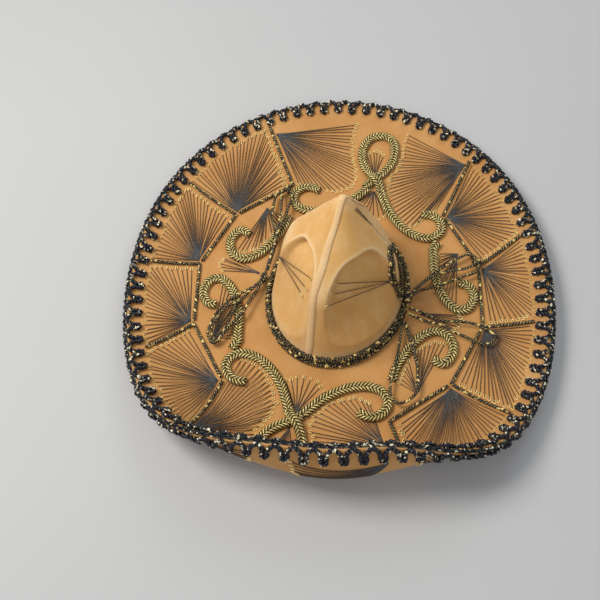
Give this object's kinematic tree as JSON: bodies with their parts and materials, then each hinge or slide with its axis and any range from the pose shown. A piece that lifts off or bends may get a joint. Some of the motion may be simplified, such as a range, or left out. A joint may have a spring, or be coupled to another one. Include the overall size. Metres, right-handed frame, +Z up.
{
  "type": "sombrero",
  "caption": "Wide boat-shaped velvet hat with a peaked, dented crown, rolled front lip, laced edge, scroll braids, stitched thread fans, loose cord loops and a tucked chin cord.",
  "frame": {"origin": "middle of the hat's footprint, level with the flat underside of the brim", "axes": "+Z up through the crown, -Y the way the wearer looks (the rolled lip), +X the wearer's left"},
  "size_m": [0.5378, 0.561, 0.186],
  "materials": {
    "brim_velvet": "soft tan velvet with a short nap",
    "crown_velvet": "golden velvet, pale sheen where the nap turns",
    "stiff_board": "pressed felt board",
    "steel_wire": "drawn wire",
    "black_cord": "twisted black cord with gold flecks",
    "gold_braid": "two-ply gold and black metallic braid",
    "dark_thread": "thin dark embroidery thread with gold stitch ends",
    "lining_cloth": "plain woven lining",
    "band_leather": "soft dressed leather",
    "bead_wood": "turned and waxed wood"
  },
  "bodies": {
    "hat": {"brim_top_cover": "brim_velvet", "brim_board": "stiff_board", "brim_under_cover": "brim_velvet", "brim_wire": "steel_wire", "edge_lacing": "black_cord", "crown_cover": "crown_velvet", "crown_shell": "stiff_board", "crown_lining": "lining_cloth", "sweatband": "band_leather", "crown_seam_cord": "crown_velvet", "hatband_lower_cord": "black_cord", "hatband_upper_cord": "black_cord", "side_knot_left": "black_cord", "side_knot_right": "black_cord", "end_scroll_back_right": "gold_braid", "side_scroll_back_right": "gold_braid", "gap_fan_back_right": "dark_thread", "dent_threads_back_right": "dark_thread", "end_scroll_back_left": "gold_braid", "side_scroll_back_left": "gold_braid", "gap_fan_back_left": "dark_thread", "dent_threads_back_left": "dark_thread", "end_scroll_front_left": "gold_braid", "side_scroll_front_left": "gold_braid", "gap_fan_front_left": "dark_thread", "dent_threads_front_left": "dark_thread", "end_scroll_front_right": "gold_braid", "side_scroll_front_right": "gold_braid", "gap_fan_front_right": "dark_thread", "dent_threads_front_right": "dark_thread", "teardrop_braid_back": "gold_braid", "teardrop_braid_front": "gold_braid", "panel_cord_left_1": "black_cord", "panel_cord_left_2": "black_cord", "panel_cord_left_3": "black_cord", "panel_cord_left_4": "black_cord", "panel_cord_left_5": "black_cord", "panel_fan_left_1": "dark_thread", "panel_fan_left_2": "dark_thread", "panel_fan_left_3": "dark_thread", "panel_fan_left_4": "dark_thread", "panel_cord_right_1": "black_cord", "panel_cord_right_2": "black_cord", "panel_cord_right_3": "black_cord", "panel_cord_right_4": "black_cord", "panel_cord_right_5": "black_cord", "panel_fan_right_1": "dark_thread", "panel_fan_right_2": "dark_thread", "panel_fan_right_3": "dark_thread", "panel_fan_right_4": "dark_thread", "chin_anchor_left": "band_leather", "chin_anchor_right": "band_leather"},
    "cord_loop_left": {"cord_loop_left": "black_cord"},
    "cord_loop_left_upper": {"cord_loop_left_upper": "black_cord"},
    "cord_loop_right_upper": {"cord_loop_right_upper": "black_cord"},
    "cord_loop_right_middle": {"cord_loop_right_middle": "black_cord"},
    "cord_loop_right_front": {"cord_loop_right_front": "black_cord"},
    "chin_strap": {"chin_cord": "black_cord"},
    "bead": {"chin_bead": "bead_wood"}
  },
  "joints": [
    {"name": "loop_left_lift", "type": "hinge", "parent": "hat", "child": "cord_loop_left", "pos_m": [-0.0946, -0.05398, 0.0148], "axis": [0.1687, 0.9857, 0], "range_deg": [0, 60]},
    {"name": "loop_left_upper_lift", "type": "hinge", "parent": "hat", "child": "cord_loop_left_upper", "pos_m": [-0.09256, -0.01981, 0.0148], "axis": [-0.053, 0.9986, 0], "range_deg": [0, 60]},
    {"name": "loop_right_upper_lift", "type": "hinge", "parent": "hat", "child": "cord_loop_right_upper", "pos_m": [0.0947, -0.00823, 0.0148], "axis": [0.7492, 0.6623, 0], "range_deg": [0, 60]},
    {"name": "loop_right_middle_lift", "type": "hinge", "parent": "hat", "child": "cord_loop_right_middle", "pos_m": [0.09654, -0.02697, 0.0148], "axis": [-1, 0.0051, 0], "range_deg": [0, 60]},
    {"name": "loop_right_front_lift", "type": "hinge", "parent": "hat", "child": "cord_loop_right_front", "pos_m": [0.08874, -0.05602, 0.0148], "axis": [0.0891, -0.996, 0], "range_deg": [0, 60]},
    {"name": "chin_strap_swing", "type": "hinge", "parent": "hat", "child": "chin_strap", "pos_m": [0.00026, -0.07516, 0.0098], "axis": [1, 0, 0], "range_deg": [-130, 0]},
    {"name": "bead_slide", "type": "slide", "parent": "chin_strap", "child": "bead", "axis": [0, 0.891, 0.454], "range_m": [0, 0.008]}
  ]
}
